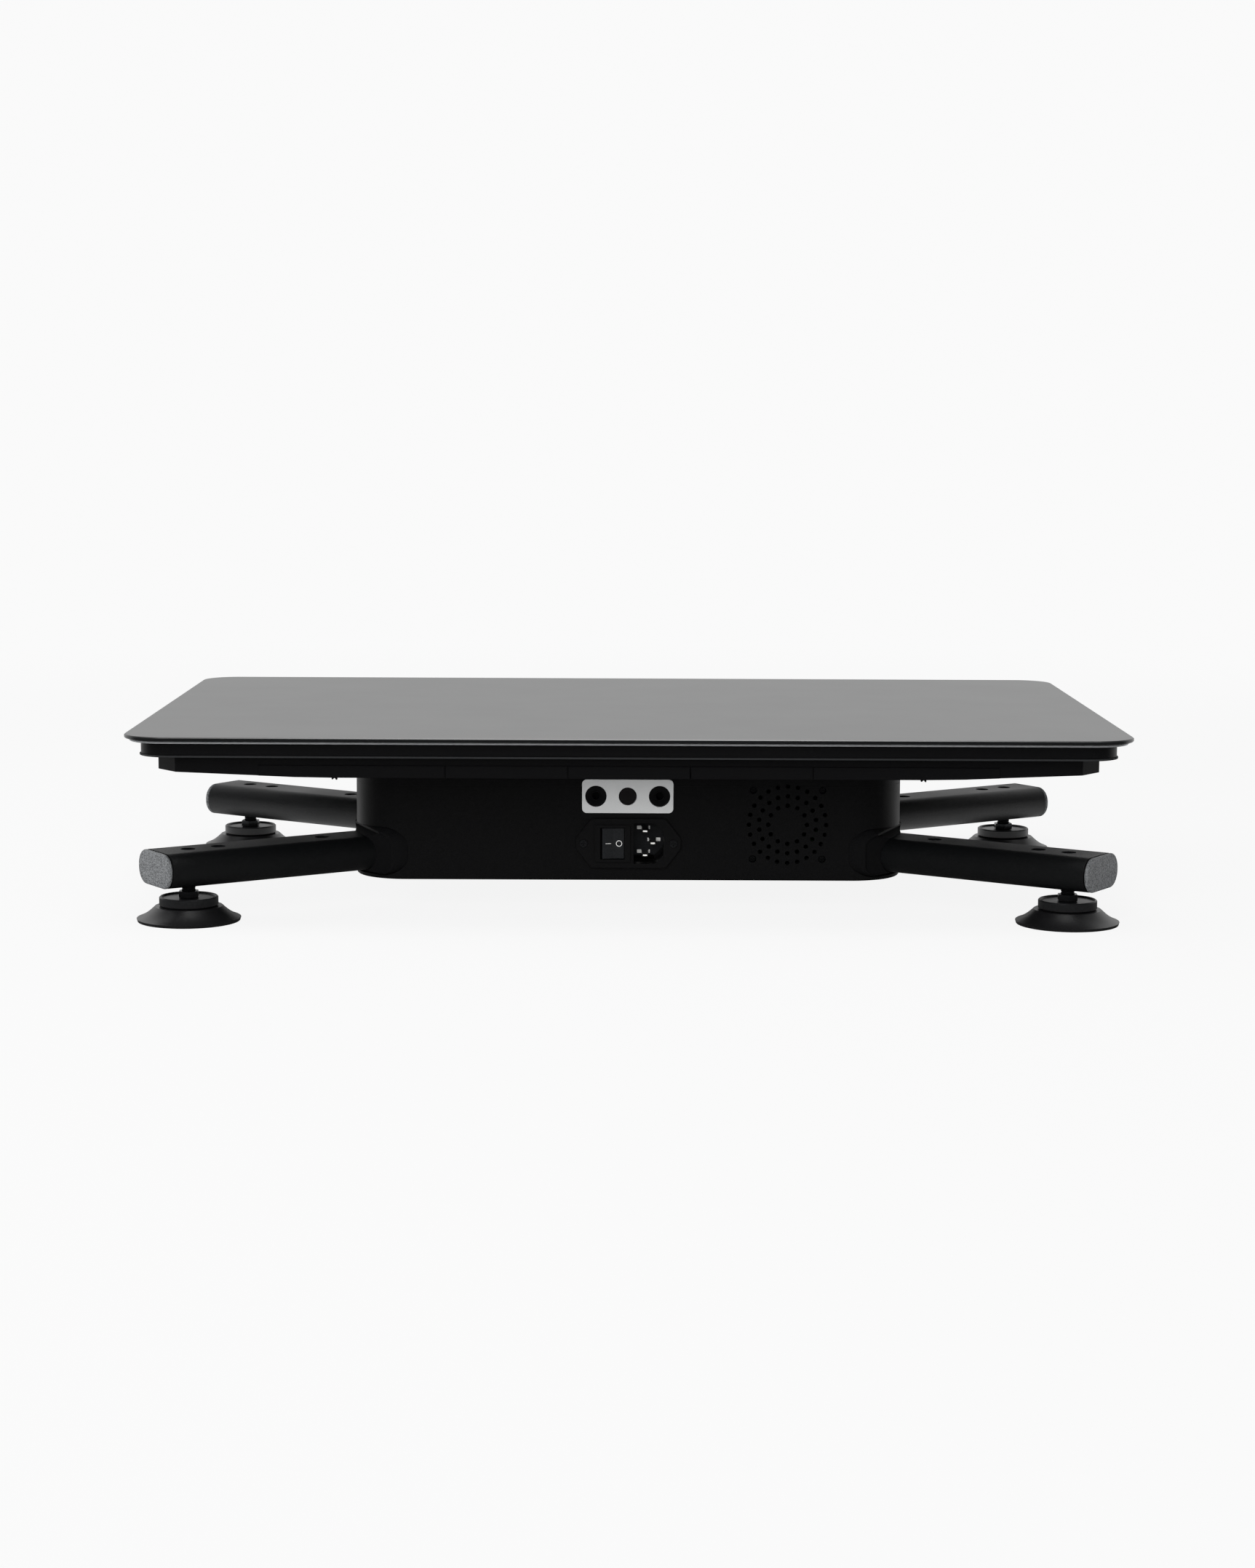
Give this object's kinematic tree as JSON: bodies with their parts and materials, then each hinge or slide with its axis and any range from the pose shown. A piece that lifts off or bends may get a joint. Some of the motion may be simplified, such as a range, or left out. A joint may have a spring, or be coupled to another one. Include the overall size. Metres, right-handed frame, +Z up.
{
  "type": "oscillating vibration plate",
  "caption": "Low exercise platform whose glass-topped deck rocks on a shaft over a housing with splayed tube legs, levelling suction feet, mains inlet, rocker switch and sockets.",
  "frame": {"origin": "on the floor under the middle of the deck", "axes": "+X along the deck's length, +Z up, and the mains inlet and the sockets face -Y"},
  "size_m": [0.56, 0.355, 0.108],
  "materials": {
    "glass": "gloss, backed in black",
    "trim": "silver edge strip",
    "pan": "satin black moulding",
    "housing": "fine textured black",
    "powder_coat": "black powder coat",
    "cap": "dark grey moulding",
    "rubber": "black",
    "foot_plastic": "satin black",
    "steel": "turned",
    "nickel": "nickel plate",
    "black_screw": "blackened",
    "panel_white": "light grey moulding",
    "inlet_plastic": "moulded black",
    "rocker_plastic": "moulded dark grey",
    "socket_plastic": "moulded black",
    "window_tint": "dark infrared window",
    "fan_plastic": "moulded black",
    "motor_steel": "grey paint",
    "cast_iron": "as cast",
    "belt": "flat belt",
    "board": "green circuit board"
  },
  "bodies": {
    "base": {"base_plate": "powder_coat", "housing_shell": "housing", "leg_front_left": "powder_coat", "leg_front_right": "powder_coat", "leg_back_left": "powder_coat", "leg_back_right": "powder_coat", "leg_cap_front_left": "cap", "leg_cap_front_right": "cap", "leg_cap_back_left": "cap", "leg_cap_back_right": "cap", "leg_grommet_front_left": "rubber", "leg_grommet_front_right": "rubber", "leg_grommet_back_left": "rubber", "leg_grommet_back_right": "rubber", "pivot_bearing_front": "cast_iron", "pivot_bearing_back": "cast_iron", "crank_bearing_front": "cast_iron", "crank_bearing_back": "cast_iron", "motor_body": "motor_steel", "control_board": "board", "drive_belt": "belt", "power_inlet": "inlet_plastic", "inlet_pin_line": "nickel", "inlet_pin_neutral": "nickel", "inlet_pin_earth": "nickel", "inlet_screw_left": "black_screw", "inlet_screw_right": "black_screw", "socket_panel": "panel_white", "socket_left": "socket_plastic", "socket_right": "socket_plastic", "receiver_window": "window_tint", "fan_frame": "fan_plastic"},
    "deck": {"deck_glass": "glass", "deck_edge_trim": "trim", "upper_pan": "pan", "lower_pan": "pan", "deck_frame": "powder_coat", "pivot_ear_front": "powder_coat", "pivot_ear_back": "powder_coat", "drive_yoke": "powder_coat", "pivot_shaft": "steel", "drive_pin": "steel"},
    "crank": {"eccentric_shaft": "steel", "crank_pulley": "motor_steel"},
    "rod": {"connecting_rod": "cast_iron"},
    "motor_rotor": {"motor_pulley": "steel"},
    "fan": {"fan_rotor": "fan_plastic"},
    "rocker": {"rocker_button": "rocker_plastic"},
    "foot_front_left": {"suction_cup_front_left": "rubber", "foot_disc_front_left": "foot_plastic", "levelling_stud_front_left": "black_screw"},
    "foot_front_right": {"suction_cup_front_right": "rubber", "foot_disc_front_right": "foot_plastic", "levelling_stud_front_right": "black_screw"},
    "foot_back_left": {"suction_cup_back_left": "rubber", "foot_disc_back_left": "foot_plastic", "levelling_stud_back_left": "black_screw"},
    "foot_back_right": {"suction_cup_back_right": "rubber", "foot_disc_back_right": "foot_plastic", "levelling_stud_back_right": "black_screw"}
  },
  "joints": [
    {"name": "deck_rock", "type": "hinge", "parent": "base", "child": "deck", "pos_m": [0, 0, 0.058], "axis": [0, 1, 0], "range_deg": [-1.8, 1.8]},
    {"name": "crank_spin", "type": "hinge", "parent": "base", "child": "crank", "pos_m": [0.0544, 0, 0.045], "axis": [0, 1, 0], "continuous": true},
    {"name": "rod_swing", "type": "hinge", "parent": "crank", "child": "rod", "pos_m": [0.056, 0, 0.045], "axis": [0, 1, 0], "continuous": true},
    {"name": "motor_spin", "type": "hinge", "parent": "base", "child": "motor_rotor", "pos_m": [-0.075, 0, 0.045], "axis": [0, 1, 0], "continuous": true},
    {"name": "fan_spin", "type": "hinge", "parent": "base", "child": "fan", "pos_m": [0.0917, -0.09, 0.0498], "axis": [0, 1, 0], "continuous": true},
    {"name": "power_rocker", "type": "hinge", "parent": "base", "child": "rocker", "pos_m": [-0.0092, -0.0987, 0.0388], "axis": [0, 0, -1], "range_deg": [0, 14]},
    {"name": "foot_front_left_height", "type": "slide", "parent": "base", "child": "foot_front_left", "axis": [0, 0, 1], "range_m": [-0.008, 0.003]},
    {"name": "foot_front_right_height", "type": "slide", "parent": "base", "child": "foot_front_right", "axis": [0, 0, 1], "range_m": [-0.008, 0.003]},
    {"name": "foot_back_left_height", "type": "slide", "parent": "base", "child": "foot_back_left", "axis": [0, 0, 1], "range_m": [-0.008, 0.003]},
    {"name": "foot_back_right_height", "type": "slide", "parent": "base", "child": "foot_back_right", "axis": [0, 0, 1], "range_m": [-0.008, 0.003]}
  ],
  "couplings": [
    {"joint": "rod_swing", "follows": "crank_spin", "ratio": -1},
    {"joint": "motor_spin", "follows": "crank_spin", "ratio": 2.5}
  ]
}
